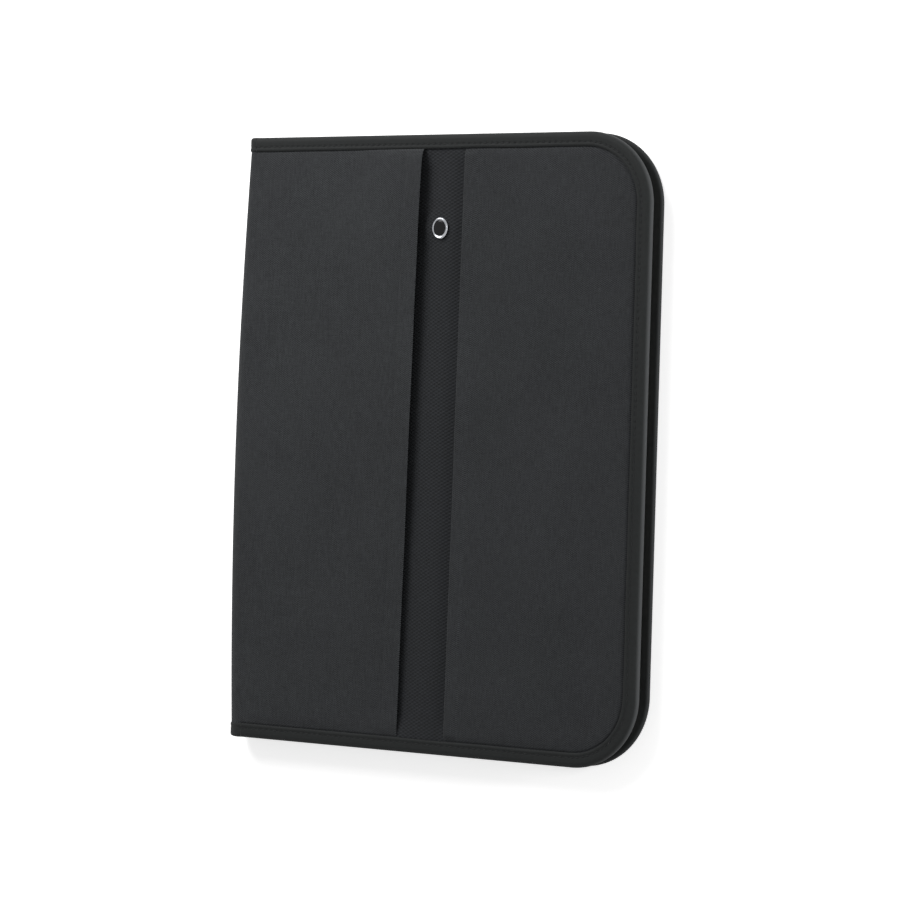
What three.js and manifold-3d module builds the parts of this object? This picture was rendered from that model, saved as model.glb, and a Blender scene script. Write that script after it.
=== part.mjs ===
// A soft padfolio with no zip, closed and lying on its back cover, in millimetres with +Z up.
// The spine runs along Y on the -X side, the covers open from the +X side, and +Y is the head of the page.
// Two stiffened cloth covers hang on a soft spine, bound with folded tape, around a letter-size writing pad.

import * as THREE from 'three';
import { mergeVertices } from 'three/addons/utils/BufferGeometryUtils.js';
import Module from 'manifold-3d';

const wasm = await Module();
wasm.setup();

// Writing pad, and the room that the covers leave round it
const padWidth = 216;
const padLength = 279;
const gutterWidth = 16.95;
const padEdgeMargin = 9.75;
const padEndMargin = 20.5;

// Overall form
const closedThickness = 16;
const cornerRadius = 37;
const spineBow = 6;
const spineBowPlace = -22;
const spineBowReach = 183;
const shoulderRise = 1.2;

// Thickness of each layer, from the outside of a cover to its inside
const tapeThickness = 0.4;
const backFabricThickness = 0.5;
const backPaddingThickness = 0.4;
const backBoardThickness = 0.9;
const liningThickness = 0.35;
const panelFabricThickness = 0.45;
const centreClothThickness = 0.45;
const frontPaddingThickness = 2.4;
const frontBoardThickness = 0.85;
const glueLine = 0.05;

// Binding tape and the soft fold at the spine
const tapeWidth = 7.5;
const shoulderRadius = 3.5;
const foldSetback = 0.75;
const foldClearance = 0.3;
const stiffenerThickness = 0.8;

// Front face: a slip pocket whose mouth gapes, a recessed centre strip and a right panel with a thick hem
const mouthHeadDistance = 110.3;
const mouthTailDistance = 102.3;
const mouthGape = 3;
const mouthPeak = 0.88;
const mouthOnset = 1.4;
const pocketCrown = 0.9;
const hemThickness = 0.5;
const hemWidth = 9;
const hemFoldShare = 0.8;
const seamHeadDistance = 134.6;
const seamTailDistance = 131.3;
const seamHemWidth = 7;
const seamHemRound = 0.25;
const seamHemFade = 2;
const tapeEdgeEase = 0.3;
const tapeEdgeReach = 4;

// Badge on the centre strip, a plain oval
const badgeWidth = 9.4;
const badgeLength = 11.2;
const badgeHeight = 1.5;
const badgeRimWidth = 1.1;
const badgeFloor = 0.4;
const badgeFootChamfer = 0.3;
const badgeShoulderDrop = 0.5;
const badgeShoulderWidth = 0.35;
const badgeShoulderTop = 0.1;
const badgeLipDrop = 0.25;
const badgeDraft = 0.1;
const insertEdgeDrop = 0.45;
const insertCrownShare = 0.8;
const insertCrownDrop = 0.3;
const insertTopDrop = 0.2;
const badgeFromHead = 48.5;
const badgeFromMouth = 11.5;
const badgePostRadius = 0.7;
const badgePostSpacing = 5;
const badgeWasherThickness = 0.3;
const badgeWasherMargin = 0.6;
const smallClearance = 0.15;

// Layers of the pad and its clearances
const cardThickness = 0.5;
const topSheetThickness = 0.1;
const headTapeThickness = 0.2;
const headTapeWidth = 15;
const slideClearance = 0.25;
const slotClearance = 0.2;
const padTopClearance = 0.35;

// Patch pocket that holds the pad's backing card
const slotPanelThickness = 0.3;
const slotWallThickness = 0.8;
const slotSideClearance = 0.6;
const slotMouthFromTail = 170;

// Elastic pen loop in the gutter
const loopLength = 22;
const loopFromTail = 180;
const loopBand = 0.7;
const loopPadGap = 1;
const loopGutterGap = 0.8;
const loopHeadroom = 0.5;
const loopCornerShare = 1 / 3;

// Pockets inside the front cover
const documentPocketThickness = 0.3;
const documentGutterMargin = 12;
const documentMouthGutter = 215;
const documentMouthEdge = 175;
const cardPocketThickness = 0.25;
const cardPocketWidth = 98;
const cardPocketHeight = 62;
const cardPocketStep = 14;
const cardPocketFromTail = 50;
const cardPocketFromGutter = 62;
const cardPocketCorner = 4;

// How far a cutting shape runs past what it cuts
const overrun = 1;

// Facets
const cornerSteps = 12;
const edgeSteps = 8;
const shoulderSteps = 5;
const spineFlatSteps = 6;
const lengthSteps = 20;
const pocketSteps = 12;
const badgeSteps = 28;

// Places that follow from the sizes
const faceWidth = gutterWidth + padWidth + padEdgeMargin;
const height = padLength + 2 * padEndMargin;
const freeEdge = (faceWidth + spineBow) / 2;
const spinePlane = freeEdge - faceWidth;
const head = height / 2;
const tail = -height / 2;
const tapeInnerEdge = head - tapeWidth;

// A layer that starts at a level, and one that ends there
const above = (level, thickness) => ({ low: level, high: level + thickness });
const below = (level, thickness) => ({ low: level - thickness, high: level });

// Layers of the back cover, from the table up
const backFabric = above(tapeThickness + glueLine, backFabricThickness);
const backPadding = above(backFabric.high + glueLine, backPaddingThickness);
const backBoard = above(backPadding.high + glueLine, backBoardThickness);
const backLining = above(backBoard.high + glueLine, liningThickness);
const backTop = backLining.high + glueLine + tapeThickness;

// Layers of the front cover, from its outer face down
const panels = below(closedThickness - tapeThickness - glueLine, panelFabricThickness);
const centreCloth = below(panels.low - glueLine, centreClothThickness);
const frontPadding = below(centreCloth.low - glueLine, frontPaddingThickness);
const frontBoard = below(frontPadding.low - glueLine, frontBoardThickness);
const frontLining = below(frontBoard.low - glueLine, liningThickness);
const frontBottom = frontLining.low - glueLine - tapeThickness;

// Layers inside: pockets hang under the front lining, the pad lies over the back lining
const documentPocket = below(frontLining.low - glueLine, documentPocketThickness);
const cardPocketBack = below(documentPocket.low - glueLine, cardPocketThickness);
const cardPocketMiddle = below(cardPocketBack.low - glueLine, cardPocketThickness);
const cardPocketFront = below(cardPocketMiddle.low - glueLine, cardPocketThickness);
const backingCard = above(backTop + slideClearance + headTapeThickness + glueLine, cardThickness);
const slotPanel = above(backingCard.high + slotClearance, slotPanelThickness);
const topSheet = below(cardPocketFront.low - padTopClearance, topSheetThickness);

// Each fold's axis sits where the rounded shoulder unrolls flat
const foldX = spinePlane + foldSetback;
const shoulderEnd = spinePlane + shoulderRadius;
const foldReach = Math.hypot(shoulderEnd - foldX, foldSetback + Math.max(shoulderRise, glueLine + tapeThickness));
const coverStart = foldX + foldReach + foldClearance;
const plyInset = (thickness) => thickness / 2 + 2 * glueLine;
const backInset = plyInset(backTop);
const frontInset = plyInset(closedThickness - frontBottom);

// Pad and gutter
const padRight = freeEdge - padEdgeMargin;
const padLeft = padRight - padWidth;
const padHead = padLength / 2;
const padTail = -padLength / 2;
const slotMouth = tail + slotMouthFromTail;

// Solids

function solidFrom(points, faces) {
  let volume = 0;
  for (const [a, b, c] of faces) {
    volume += points[a].dot(new THREE.Vector3().crossVectors(points[b], points[c]));
  }
  const outward = volume < 0 ? faces.map(([a, b, c]) => [a, c, b]) : faces;
  const geometry = new THREE.BufferGeometry();
  geometry.setAttribute('position', new THREE.Float32BufferAttribute(points.flatMap((p) => [p.x, p.y, p.z]), 3));
  geometry.setIndex(outward.flat());
  return geometry;
}

// Joins equal rings of points; outline is one ring seen flat, for the two end faces
function loft(rings, outline) {
  const count = outline.length;
  const last = (rings.length - 1) * count;
  const faces = [];
  for (let start = 0; start < last; start += count) {
    for (let i = 0; i < count; i += 1) {
      const a = start + i;
      const b = start + (i + 1) % count;
      faces.push([a, b, b + count], [a, b + count, a + count]);
    }
  }
  const clockwise = THREE.ShapeUtils.isClockWise(outline);
  for (const triangle of THREE.ShapeUtils.triangulateShape(outline, [])) {
    const [a, b, c] = clockwise ? triangle.toReversed() : triangle;
    faces.push([c, b, a], [last + a, last + b, last + c]);
  }
  return solidFrom(rings.flat(), faces);
}

// Closes the space between two grids of points of the same size
function slab(outer, inner) {
  const rows = outer.length;
  const columns = outer[0].length;
  const half = rows * columns;
  const faces = [];
  const quad = (a, b, c, d) => faces.push([a, b, c], [a, c, d]);
  for (let j = 0; j + 1 < rows; j += 1) {
    for (let i = 0; i + 1 < columns; i += 1) {
      const a = j * columns + i;
      quad(a, a + 1, a + 1 + columns, a + columns);
      quad(half + a, half + a + columns, half + a + 1 + columns, half + a + 1);
    }
    const left = j * columns;
    const right = left + columns - 1;
    quad(left, left + columns, half + left + columns, half + left);
    quad(right + columns, right, half + right, half + right + columns);
  }
  for (let i = 0; i + 1 < columns; i += 1) {
    const far = half - columns + i;
    quad(i + 1, i, half + i, half + i + 1);
    quad(far, far + 1, half + far + 1, half + far);
  }
  return solidFrom([...outer.flat(), ...inner.flat()], faces);
}

function toManifold(geometry) {
  const bare = geometry.clone();
  bare.deleteAttribute('normal');
  bare.deleteAttribute('uv');
  const merged = mergeVertices(bare, 1e-5);
  const vertProperties = new Float32Array(merged.attributes.position.array);
  const triVerts = new Uint32Array(merged.index.array);
  return new wasm.Manifold(new wasm.Mesh({ numProp: 3, vertProperties, triVerts }));
}

function fromManifold(solid) {
  const mesh = solid.getMesh();
  const geometry = new THREE.BufferGeometry();
  geometry.setAttribute('position', new THREE.BufferAttribute(new Float32Array(mesh.vertProperties), 3));
  geometry.setIndex([...mesh.triVerts]);
  return geometry;
}

function cut(body, ...tools) {
  return fromManifold(tools.reduce((rest, tool) => rest.subtract(toManifold(tool)), toManifold(body)));
}

function join(...parts) {
  return fromManifold(parts.map(toManifold).reduce((whole, part) => whole.add(part)));
}

function plate(shape, { low, high }, steps = cornerSteps) {
  const depth = high - low;
  return new THREE.ExtrudeGeometry(shape, { depth, bevelEnabled: false, curveSegments: steps }).translate(0, 0, low);
}

function block(x0, x1, y0, y1, z0, z1) {
  const box = new THREE.BoxGeometry(x1 - x0, y1 - y0, z1 - z0);
  return box.translate((x0 + x1) / 2, (y0 + y1) / 2, (z0 + z1) / 2);
}

// An outline in X and Z, run along Y
function alongY(shape, y0, y1, steps) {
  const run = new THREE.ExtrudeGeometry(shape, { depth: y1 - y0, bevelEnabled: false, curveSegments: steps });
  return run.rotateX(Math.PI / 2).translate(0, y1, 0);
}

function roundedRectangle(x0, x1, y0, y1, radius) {
  const shape = new THREE.Shape();
  shape.absarc(x1 - radius, y0 + radius, radius, -Math.PI / 2, 0);
  shape.absarc(x1 - radius, y1 - radius, radius, 0, Math.PI / 2);
  shape.absarc(x0 + radius, y1 - radius, radius, Math.PI / 2, Math.PI);
  shape.absarc(x0 + radius, y0 + radius, radius, Math.PI, 1.5 * Math.PI);
  return shape;
}

// Outline of a cover: square at the spine, rounded at the free edge; its near side may lean from tail to head
function coverShape(inset, tailX = coverStart, headX = coverStart) {
  const radius = cornerRadius - inset;
  const right = freeEdge - cornerRadius;
  const shape = new THREE.Shape();
  shape.moveTo(tailX, tail + inset);
  shape.lineTo(right, tail + inset);
  shape.absarc(right, tail + cornerRadius, radius, -Math.PI / 2, 0);
  shape.absarc(right, head - cornerRadius, radius, 0, Math.PI / 2);
  shape.lineTo(headX, head - inset);
  return shape;
}

// Binding tape

// Folded tape seen end on: distance in from the edge against height, round at the fold
function tapeSection(low, high) {
  const middle = (low + high) / 2;
  const outerRadius = (high - low) / 2;
  const innerRadius = outerRadius - tapeThickness;
  const arc = (radius, steps) => Array.from({ length: steps + 1 }, (_, k) => {
    const angle = -Math.PI / 2 + (Math.PI * k) / steps;
    return new THREE.Vector2(outerRadius - radius * Math.cos(angle), middle + radius * Math.sin(angle));
  });
  return [
    new THREE.Vector2(tapeWidth, low),
    ...arc(outerRadius, edgeSteps),
    new THREE.Vector2(tapeWidth, high),
    new THREE.Vector2(tapeWidth, high - tapeThickness),
    ...arc(innerRadius, edgeSteps - 2).toReversed(),
    new THREE.Vector2(tapeWidth, low + tapeThickness),
  ];
}

// Stations along a cover's three open edges, each with its direction into the cover
function edgeStations() {
  const right = freeEdge - cornerRadius;
  const corner = (y, from) => Array.from({ length: cornerSteps + 1 }, (_, k) => {
    const angle = from + (Math.PI / 2) * (k / cornerSteps);
    const outward = new THREE.Vector2(Math.cos(angle), Math.sin(angle));
    return { at: new THREE.Vector2(right, y).addScaledVector(outward, cornerRadius), inward: outward.negate() };
  });
  return [
    { at: new THREE.Vector2(coverStart, tail), inward: new THREE.Vector2(0, 1) },
    ...corner(tail + cornerRadius, -Math.PI / 2),
    ...corner(head - cornerRadius, 0),
    { at: new THREE.Vector2(coverStart, head), inward: new THREE.Vector2(0, -1) },
  ];
}

function coverTape(low, high) {
  const section = tapeSection(low, high);
  const ring = ({ at, inward }) => section.map(({ x, y }) => (
    new THREE.Vector3(at.x + inward.x * x, at.y + inward.y * x, y)
  ));
  return loft(edgeStations().map(ring), section);
}

// Spine

// How far the spine bows at a distance along it: least at the head, most a little below half way
function bowShare(y) {
  const along = THREE.MathUtils.clamp(y, -tapeInnerEdge, tapeInnerEdge);
  return Math.max(0, 1 - ((along - spineBowPlace) / spineBowReach) ** 2);
}

// How far padded cloth swells at a distance along it: nothing under the tape, most half way
const swellShare = (y) => Math.max(0, 1 - (y / tapeInnerEdge) ** 2);

// Places along Y out to both ends, with one at each tape's inner edge
function rowsTo(end) {
  const between = Array.from({ length: lengthSteps + 1 }, (_, k) => (
    THREE.MathUtils.lerp(-tapeInnerEdge, tapeInnerEdge, k / lengthSteps)
  ));
  return [-end, ...between, end];
}

// One line of the spine's rounded section at y, set in from the cloth's outer face by depth
function spineLine(y, depth) {
  const low = backFabric.low;
  const high = panels.high;
  const radius = shoulderRadius - depth;
  const centreX = spinePlane + shoulderRadius;
  const arc = (z, from) => Array.from({ length: shoulderSteps + 1 }, (_, k) => {
    const angle = from - (Math.PI / 2) * (k / shoulderSteps);
    return new THREE.Vector2(centreX + radius * Math.cos(angle), z + radius * Math.sin(angle));
  });
  const flat = Array.from({ length: spineFlatSteps - 1 }, (_, k) => (
    new THREE.Vector2(spinePlane + depth, THREE.MathUtils.lerp(
      low + shoulderRadius, high - shoulderRadius, (k + 1) / spineFlatSteps,
    ))
  ));
  const line = [
    ...arc(low + shoulderRadius, -Math.PI / 2),
    ...flat,
    ...arc(high - shoulderRadius, Math.PI),
  ];
  return line.map((point, k) => {
    const share = k / (line.length - 1);
    const bow = spineBow * bowShare(y) * Math.sin(Math.PI * share);
    const rise = shoulderRise * swellShare(y) * THREE.MathUtils.smoothstep(share, 0.5, 1);
    return new THREE.Vector3(point.x - bow, y, point.y + rise);
  });
}

// A skin of the spine between two depths, through the given rows
function spineSkin(outerDepth, innerDepth, rows) {
  return slab(rows.map((y) => spineLine(y, outerDepth)), rows.map((y) => spineLine(y, innerDepth)));
}

function spineFabric() {
  return spineSkin(0, backFabricThickness, rowsTo(head - tapeThickness - glueLine));
}

// Tape folded over one end of the spine, side 1 at the head and -1 at the tail
function spineTape(side) {
  const outerDepth = -(glueLine + tapeThickness);
  const innerDepth = backFabricThickness + glueLine + tapeThickness;
  const whole = spineSkin(outerDepth, innerDepth, [side * tapeInnerEdge, side * head]);
  const hollowStart = side * (tapeInnerEdge - overrun);
  const hollowEnd = side * (head - tapeThickness);
  const hollow = hollowSkin(outerDepth + tapeThickness, innerDepth - tapeThickness, hollowStart, hollowEnd);
  return cut(whole, hollow);
}

// The same skin run a little past both shoulders, to cut right through
function hollowSkin(outerDepth, innerDepth, y0, y1) {
  const line = (y, depth) => {
    const points = spineLine(Math.sign(y) * tapeInnerEdge, depth).map((p) => p.setY(y));
    const first = points[0].clone().setX(points[0].x + overrun);
    const last = points.at(-1).clone().setX(points.at(-1).x + overrun);
    return [first, ...points, last];
  };
  return slab([line(y0, outerDepth), line(y1, outerDepth)], [line(y0, innerDepth), line(y1, innerDepth)]);
}

// The stiffener and the lining follow the flat of the spine inside its cloth
function spineInner(depth, thickness) {
  const end = tapeInnerEdge - foldClearance;
  const flatOnly = (y, d) => spineLine(y, d).slice(shoulderSteps, -shoulderSteps);
  const stations = Array.from({ length: lengthSteps + 1 }, (_, k) => THREE.MathUtils.lerp(-end, end, k / lengthSteps));
  return slab(stations.map((y) => flatOnly(y, depth)), stations.map((y) => flatOnly(y, depth + thickness)));
}

// Front face

// How much a hem or crown may stand up at y: nothing under the tape at the head and the tail
const clearOfTape = (y) => THREE.MathUtils.smoothstep(tapeInnerEdge - Math.abs(y), tapeEdgeEase, tapeEdgeReach);

// The mouth gapes little at the tail and most near the head, where the tape holds it down again
function gapeShare(y) {
  const share = THREE.MathUtils.clamp((y + tapeInnerEdge) / (2 * tapeInnerEdge), 0, 1);
  const fall = mouthOnset * (1 - mouthPeak) / mouthPeak;
  const most = mouthPeak ** mouthOnset * (1 - mouthPeak) ** fall;
  return (share ** mouthOnset * (1 - share) ** fall) / most;
}

const alongEdge = (y, tailDistance, headDistance) => (
  spinePlane + THREE.MathUtils.lerp(tailDistance, headDistance, (y - tail) / height)
);
const mouthX = (y) => alongEdge(y, mouthTailDistance, mouthHeadDistance);

// Height of the pocket panel's face above flat; across goes from 0 at the spine to 1 at the mouth
function pocketRise(across, y) {
  const atSpine = shoulderRise * swellShare(y) * (1 - across);
  const crown = pocketCrown * swellShare(y) * Math.sin(Math.PI * across);
  const gape = mouthGape * gapeShare(y) * THREE.MathUtils.smoothstep(across, 0.5, 1);
  return atSpine + crown + gape;
}

function pocketPanel() {
  const rows = rowsTo(head - frontInset);
  const hemShare = hemWidth / (mouthHeadDistance - (coverStart - spinePlane));
  const face = (extra) => rows.map((y) => Array.from({ length: pocketSteps + 3 }, (_, k) => {
    const across = k > pocketSteps ? [1 - hemShare * hemFoldShare, 1][k - pocketSteps - 1] : (1 - hemShare) * (k / pocketSteps);
    const x = THREE.MathUtils.lerp(coverStart, mouthX(y), across);
    const hem = across > 1 - hemShare ? hemThickness * clearOfTape(y) : 0;
    return new THREE.Vector3(x, y, panels.low + pocketRise(across, y) + extra * (panelFabricThickness + hem));
  }));
  return slab(face(1), face(0));
}

function rightPanel() {
  const seamX = (y) => alongEdge(y, seamTailDistance, seamHeadDistance);
  const cloth = plate(coverShape(frontInset, seamX(tail), seamX(head)), panels);
  const top = panels.high + hemThickness;
  const hem = [
    [0, panels.low], [0, top - seamHemRound], [seamHemRound, top], [seamHemWidth, top],
    [seamHemWidth + seamHemFade, panels.high], [seamHemWidth + seamHemFade, panels.low],
  ].map(([x, z]) => new THREE.Vector2(x, z));
  const end = tapeInnerEdge - foldClearance;
  const ring = (y) => hem.map((p) => new THREE.Vector3(seamX(y) + p.x, y, p.y));
  return join(cloth, loft([ring(-end), ring(end)], hem));
}

// Badge

const badgeY = head - badgeFromHead;
const badgeX = mouthX(badgeY) + badgeFromMouth;

// A turned shape about Z, stretched to an oval of the badge's proportions and set at the badge's place
function oval(profile) {
  const turned = new THREE.LatheGeometry(profile.map(([r, z]) => new THREE.Vector2(r, z)), badgeSteps);
  return turned.rotateX(Math.PI / 2).scale(1, badgeLength / badgeWidth, 1).translate(badgeX, badgeY, 0);
}

function posts(radius, low, high) {
  return [-1, 1].map((side) => {
    const post = new THREE.CylinderGeometry(radius, radius, high - low, 12).rotateX(Math.PI / 2);
    return post.translate(badgeX, badgeY + (side * badgePostSpacing) / 2, (low + high) / 2);
  });
}

function badgeRim() {
  const low = centreCloth.high + glueLine;
  const high = low + badgeHeight;
  const outer = badgeWidth / 2;
  const inner = outer - badgeRimWidth;
  const cup = oval([
    [0, low], [outer - badgeFootChamfer, low], [outer, low + badgeFootChamfer], [outer, high - badgeShoulderDrop],
    [outer - badgeShoulderWidth, high - badgeShoulderTop], [outer - badgeRimWidth / 2, high],
    [inner, high - badgeLipDrop], [inner - badgeDraft, low + badgeFloor], [0, low + badgeFloor],
  ]);
  const washerLow = centreCloth.low - glueLine - badgeWasherThickness;
  return join(cup, ...posts(badgePostRadius, washerLow, low + badgeFloor / 2));
}

function badgeInsert() {
  const low = centreCloth.high + badgeFloor + 2 * glueLine;
  const high = centreCloth.high + badgeHeight;
  const radius = badgeWidth / 2 - badgeRimWidth - badgeDraft - smallClearance;
  return oval([
    [0, low], [radius, low], [radius, high - insertEdgeDrop],
    [radius * insertCrownShare, high - insertCrownDrop], [0, high - insertTopDrop],
  ]);
}

const washerRadius = badgeWidth / 2 - badgeWasherMargin;

function badgeWasher() {
  const level = below(centreCloth.low - glueLine, badgeWasherThickness);
  const disc = oval([[0, level.low], [washerRadius, level.low], [washerRadius, level.high], [0, level.high]]);
  return cut(disc, ...posts(badgePostRadius + smallClearance, level.low - overrun, level.high + overrun));
}

function centrePanel() {
  const holes = posts(badgePostRadius + smallClearance, centreCloth.low - overrun, centreCloth.high + overrun);
  return cut(plate(coverShape(frontInset), centreCloth), ...holes);
}

function frontFoam() {
  const radius = washerRadius + smallClearance;
  const low = frontPadding.low - overrun;
  const high = frontPadding.high + overrun;
  const opening = oval([[0, low], [radius, low], [radius, high], [0, high]]);
  return cut(plate(coverShape(frontInset), frontPadding), opening);
}

// Inside the front cover

function documentPanel() {
  const inset = tapeWidth + foldClearance;
  const radius = cornerRadius - inset;
  const left = coverStart + documentGutterMargin;
  const right = freeEdge - inset;
  const shape = new THREE.Shape();
  shape.moveTo(left, tail + inset);
  shape.lineTo(right - radius, tail + inset);
  shape.absarc(right - radius, tail + inset + radius, radius, -Math.PI / 2, 0);
  shape.lineTo(right, tail + documentMouthEdge);
  shape.lineTo(left, tail + documentMouthGutter);
  return plate(shape, documentPocket);
}

function cardPanel(layer, place) {
  const left = coverStart + cardPocketFromGutter;
  const low = tail + cardPocketFromTail;
  const high = low + cardPocketHeight - place * cardPocketStep;
  return plate(roundedRectangle(left, left + cardPocketWidth, low, high, cardPocketCorner), layer, 4);
}

// Inside the back cover

// Its walls are sewn down to the lining, and step over the binding tape at the rounded corner
function padSlotPanel() {
  const left = padLeft - slotSideClearance;
  const right = padRight + slotSideClearance;
  const bottom = padTail - slotSideClearance;
  const wall = slotWallThickness;
  const low = backLining.high + glueLine;
  const whole = block(left - wall, right + wall, bottom - wall, slotMouth, low, slotPanel.high);
  const tapeZone = { low: low - overrun, high: backTop + glueLine };
  const tapeSpace = cut(
    plate(coverShape(-foldClearance), tapeZone),
    plate(coverShape(tapeWidth + foldClearance, coverStart - overrun, coverStart - overrun), tapeZone),
  );
  const inside = block(left, right, bottom, slotMouth + overrun, low - overrun, slotPanel.low);
  return cut(whole, inside, tapeSpace);
}

function penLoop() {
  const left = coverStart + loopGutterGap;
  const right = padLeft - loopPadGap;
  const low = backLining.high + glueLine;
  const high = frontLining.low - loopHeadroom;
  const radius = (high - low) * loopCornerShare;
  const start = tail + loopFromTail;
  const band = roundedRectangle(left, right, low, high, radius);
  band.holes.push(roundedRectangle(
    left + loopBand, right - loopBand, low + loopBand, high - loopBand, radius - loopBand,
  ));
  return alongY(band, start, start + loopLength, 4);
}

// Writing pad

// The sheets lie on the backing card, and below the slot's mouth they ride over the slot panel
function padSheets() {
  const step = slotMouth + slotClearance;
  const overPanel = slotPanel.high + slotClearance;
  const onCard = backingCard.high + glueLine;
  const top = topSheet.low - glueLine;
  return join(
    block(padLeft, padRight, padTail, padHead, overPanel, top),
    block(padLeft, padRight, step, padHead, onCard, top),
  );
}

function padHeadTape() {
  const wrap = headTapeThickness + glueLine;
  const start = padHead - headTapeWidth;
  const whole = block(padLeft, padRight, start, padHead + wrap, backingCard.low - wrap, topSheet.high + wrap);
  const hollow = block(
    padLeft - overrun, padRight + overrun, start - overrun, padHead + glueLine,
    backingCard.low - glueLine, topSheet.high + glueLine,
  );
  return cut(whole, hollow);
}

function padPlate(layer) {
  return block(padLeft, padRight, padTail, padHead, layer.low, layer.high);
}

// Materials

const finish = (color, roughness, metalness = 0) => new THREE.MeshStandardMaterial({ color, roughness, metalness });
const panelCloth = finish(0x35363a, 0.85);
const stripCloth = finish(0x2b2c2f, 0.8);
const tapeCloth = finish(0x33353a, 0.75);
const liningCloth = finish(0x222327, 0.7);
const foam = finish(0x3c3c3c, 0.95);
const greyBoard = finish(0x8b857a, 0.9);
const blackPlastic = finish(0x1c1c1e, 0.5);
const elastic = finish(0x1f2023, 0.9);
const chrome = finish(0xd6d8dc, 0.15, 1);
const enamel = finish(0x08080a, 0.2);
const paper = finish(0xf2f0e6, 0.9);
const tapePaper = finish(0x24262b, 0.7);

// The object

const padfolio = new THREE.Group();

function add(name, geometry, material) {
  const mesh = new THREE.Mesh(geometry, material);
  mesh.name = name;
  padfolio.add(mesh);
}

add('back_outer_fabric', plate(coverShape(backInset), backFabric), panelCloth);
add('back_padding', plate(coverShape(backInset), backPadding), foam);
add('back_board', plate(coverShape(backInset), backBoard), greyBoard);
add('back_lining', plate(coverShape(backInset), backLining), liningCloth);
add('back_binding_tape', coverTape(0, backTop), tapeCloth);
add('pad_slot_panel', padSlotPanel(), liningCloth);
add('pen_loop', penLoop(), elastic);

add('spine_outer_fabric', spineFabric(), panelCloth);
add('spine_stiffener', spineInner(backFabricThickness + glueLine, stiffenerThickness), blackPlastic);
add('spine_lining', spineInner(
  backFabricThickness + stiffenerThickness + 2 * glueLine, liningThickness,
), liningCloth);
add('spine_head_tape', spineTape(1), tapeCloth);
add('spine_tail_tape', spineTape(-1), tapeCloth);

add('front_pocket_panel', pocketPanel(), panelCloth);
add('front_right_panel', rightPanel(), panelCloth);
add('front_centre_cloth', centrePanel(), stripCloth);
add('front_padding', frontFoam(), foam);
add('front_board', plate(coverShape(frontInset), frontBoard), greyBoard);
add('front_lining', plate(coverShape(frontInset), frontLining), liningCloth);
add('front_binding_tape', coverTape(frontBottom, closedThickness), tapeCloth);
add('document_pocket', documentPanel(), liningCloth);
add('card_pocket_back', cardPanel(cardPocketBack, 0), liningCloth);
add('card_pocket_middle', cardPanel(cardPocketMiddle, 1), liningCloth);
add('card_pocket_front', cardPanel(cardPocketFront, 2), liningCloth);
add('badge_rim', badgeRim(), chrome);
add('badge_insert', badgeInsert(), enamel);
add('badge_washer', badgeWasher(), chrome);

add('pad_backing_card', padPlate(backingCard), greyBoard);
add('pad_sheets', padSheets(), paper);
add('pad_top_sheet', padPlate(topSheet), paper);
add('pad_head_tape', padHeadTape(), tapePaper);

export default padfolio;
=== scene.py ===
"""A soft padfolio lying closed on its back cover: cloth, tape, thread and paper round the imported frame.

Shapes are worked out in millimetres, and turned into metres where a mesh is made.
"""

from math import cos, hypot, pi, radians, sin, sqrt

import bpy
import numpy as np
from mathutils import Matrix, Vector

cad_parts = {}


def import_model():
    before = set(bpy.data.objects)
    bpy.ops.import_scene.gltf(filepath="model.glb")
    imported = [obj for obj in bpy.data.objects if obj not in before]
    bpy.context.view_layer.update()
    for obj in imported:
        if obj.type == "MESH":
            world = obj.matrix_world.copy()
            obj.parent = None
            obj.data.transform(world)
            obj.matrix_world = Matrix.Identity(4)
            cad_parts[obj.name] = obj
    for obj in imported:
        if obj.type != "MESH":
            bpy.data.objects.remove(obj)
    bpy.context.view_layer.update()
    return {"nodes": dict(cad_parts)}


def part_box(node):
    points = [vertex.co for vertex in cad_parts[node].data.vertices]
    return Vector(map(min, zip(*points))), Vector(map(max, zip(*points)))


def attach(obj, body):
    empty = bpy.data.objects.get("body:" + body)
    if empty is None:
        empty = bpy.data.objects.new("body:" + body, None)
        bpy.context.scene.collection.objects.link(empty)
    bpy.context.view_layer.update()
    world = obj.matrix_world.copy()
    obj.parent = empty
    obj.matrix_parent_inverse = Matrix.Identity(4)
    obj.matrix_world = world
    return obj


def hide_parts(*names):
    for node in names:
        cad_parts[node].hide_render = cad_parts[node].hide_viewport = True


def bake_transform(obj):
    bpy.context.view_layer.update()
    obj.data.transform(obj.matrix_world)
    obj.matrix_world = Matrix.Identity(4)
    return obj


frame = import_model()

MM = 0.001


def box_mm(node):
    return np.array(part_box(node)) / MM


# Places read from the frame
(COVER_START, _, FRONT_BOTTOM), (FREE_EDGE, HEAD, FRONT_TOP) = box_mm("front_binding_tape")
BACK_TOP = box_mm("back_binding_tape")[1][2]
BACK_CLOTH_LOW = box_mm("back_outer_fabric")[0][2]
BACK_LINING_TOP = box_mm("back_lining")[1][2]
FRONT_LINING_LOW = box_mm("front_lining")[0][2]
STRIP_TOP = box_mm("front_centre_cloth")[1][2]
GLUE_LINE = 0.05
PANEL_LOW = STRIP_TOP + GLUE_LINE
PANEL_THICKNESS = 0.45
PANEL_TOP = PANEL_LOW + PANEL_THICKNESS

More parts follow.
